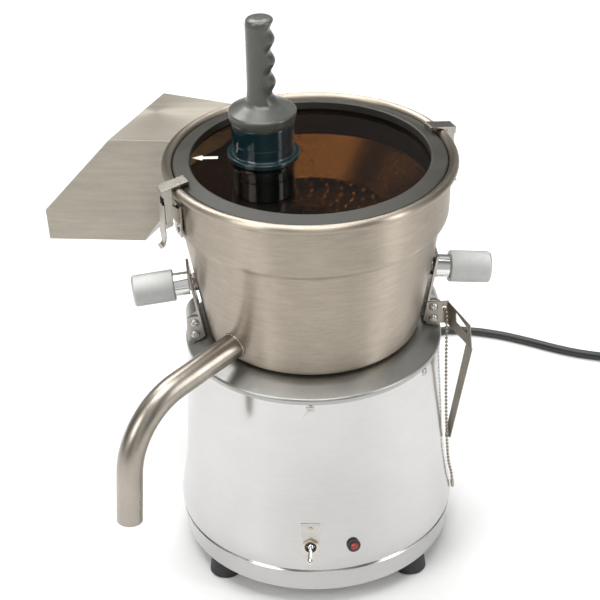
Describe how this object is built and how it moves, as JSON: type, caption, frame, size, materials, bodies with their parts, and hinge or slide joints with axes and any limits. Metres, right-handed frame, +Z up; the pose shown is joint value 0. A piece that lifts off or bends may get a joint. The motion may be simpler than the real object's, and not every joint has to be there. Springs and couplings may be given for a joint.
{
  "type": "centrifugal juice extractor",
  "caption": "Countertop centrifugal juice extractor: flared metal body, steel bowl with latched clear lid, feed tube and plunger, pulp chute, bent juice spout, side locks and power cord.",
  "frame": {"origin": "on the standing surface, under the middle of the machine's bounding box, cord left out", "axes": "+Z up along the motor axis, -Y the front with the switch, +X the machine's right as seen from the front; the motor axis is at x = 0.0455"},
  "size_m": [0.7665, 0.5642, 0.5815],
  "materials": {
    "rubber": "matt",
    "steel_zinc": "satin",
    "body_metal": "satin",
    "cast_metal": "satin",
    "screw_steel": "satin",
    "motor_paint": "satin",
    "copper_winding": "satin",
    "bearing_steel": "polished",
    "black_plastic": "matt",
    "plate_steel": "satin",
    "brass_nickel": "satin",
    "chrome": "polished",
    "red_plastic": "satin",
    "cord_rubber": "matt",
    "brass": "satin",
    "bowl_steel": "satin",
    "spout_steel": "polished",
    "chute_steel": "satin",
    "bracket_steel": "satin",
    "knob_steel": "fine knurl",
    "latch_steel": "satin",
    "smoked_clear": "polished",
    "seal_rubber": "satin",
    "arrow_paint": "satin",
    "teal_clear": "polished",
    "grey_plastic": "gloss",
    "dark_plastic": "satin",
    "rotor_steel": "satin",
    "hub_metal": "satin",
    "strap_steel": "satin",
    "chain_steel": "satin"
  },
  "bodies": {
    "frame": {"feet": "rubber", "foot_bolts": "steel_zinc", "base_plate": "steel_zinc", "base_ring": "body_metal", "body_shell": "body_metal", "top_casting": "cast_metal", "body_screws": "screw_steel", "motor_case": "motor_paint", "stator": "copper_winding", "motor_bolts": "screw_steel", "upper_bearing": "bearing_steel", "lower_bearing": "bearing_steel", "run_capacitor": "black_plastic", "bearing_tower": "cast_metal", "shaft_seal": "rubber", "switch_plate": "plate_steel", "switch_body": "black_plastic", "switch_nut": "brass_nickel", "breaker_body": "black_plastic", "cord_gland": "rubber", "power_cord": "cord_rubber", "cord_coil": "cord_rubber", "plug_body": "cord_rubber", "plug_pins": "brass", "bowl": "bowl_steel", "separator_ring": "bowl_steel", "juice_spout": "spout_steel", "pulp_chute": "chute_steel", "bracket_left": "bracket_steel", "bracket_right": "bracket_steel", "bracket_screws": "screw_steel", "lock_barrels": "chrome", "latch_bases": "latch_steel", "latch_rivets": "screw_steel", "lid_plate": "smoked_clear", "lid_seal": "seal_rubber", "lid_arrow": "arrow_paint", "feed_tube": "teal_clear", "tool_strap": "strap_steel", "bead_chain": "chain_steel"},
    "rotor": {"motor_shaft": "bearing_steel", "rotor_core": "rotor_steel", "cooling_fan": "black_plastic", "drive_hub": "hub_metal", "strainer_basket": "bowl_steel", "grater_disc": "bowl_steel", "hub_nut": "screw_steel"},
    "toggle": {"toggle_lever": "chrome"},
    "breaker": {"breaker_button": "red_plastic"},
    "knob_l": {"knob_left": "knob_steel"},
    "knob_r": {"knob_right": "knob_steel"},
    "plunger": {"plunger_grip": "grey_plastic", "pusher": "dark_plastic"},
    "lever_l": {"lever_left": "latch_steel"},
    "lever_r": {"lever_right": "latch_steel"},
    "hook_l": {"hook_left": "latch_steel"},
    "hook_r": {"hook_right": "latch_steel"}
  },
  "joints": [
    {"name": "rotor_spin", "type": "hinge", "parent": "frame", "child": "rotor", "pos_m": [0.0455, 0, 0.3], "axis": [0, 0, 1], "continuous": true},
    {"name": "plunger_lift", "type": "slide", "parent": "frame", "child": "plunger", "axis": [0, 0, 1], "range_m": [0, 0.08]},
    {"name": "toggle_flip", "type": "hinge", "parent": "frame", "child": "toggle", "pos_m": [0.03864, -0.14033, 0.07626], "axis": [-0.9988, 0.0489, 0], "range_deg": [0, 50]},
    {"name": "breaker_trip", "type": "slide", "parent": "frame", "child": "breaker", "axis": [0.2551, -0.9522, 0.1681], "range_m": [0, 0.004]},
    {"name": "knob_left_pull", "type": "slide", "parent": "frame", "child": "knob_l", "axis": [-0.9899, -0.0953, -0.1045], "range_m": [0, 0.008], "stiffness_N_per_m": 1500, "springref_m": -0.003},
    {"name": "knob_right_pull", "type": "slide", "parent": "frame", "child": "knob_r", "axis": [0.9899, 0.0953, -0.1045], "range_m": [0, 0.008], "stiffness_N_per_m": 1500, "springref_m": -0.003},
    {"name": "lever_left_open", "type": "hinge", "parent": "frame", "child": "lever_l", "pos_m": [-0.09068, -0.05921, 0.425], "axis": [-0.3987, 0.9171, 0], "range_deg": [0, 100]},
    {"name": "lever_right_open", "type": "hinge", "parent": "frame", "child": "lever_r", "pos_m": [0.18168, 0.05921, 0.425], "axis": [0.3987, -0.9171, 0], "range_deg": [0, 100]},
    {"name": "hook_left_swing", "type": "hinge", "parent": "lever_l", "child": "hook_l", "pos_m": [-0.09068, -0.05921, 0.408], "axis": [-0.3987, 0.9171, 0], "range_deg": [-100, 0]},
    {"name": "hook_right_swing", "type": "hinge", "parent": "lever_r", "child": "hook_r", "pos_m": [0.18168, 0.05921, 0.408], "axis": [0.3987, -0.9171, 0], "range_deg": [-100, 0]}
  ],
  "couplings": [
    {"joint": "hook_left_swing", "follows": "lever_left_open", "ratio": -1},
    {"joint": "hook_right_swing", "follows": "lever_right_open", "ratio": -1}
  ]
}
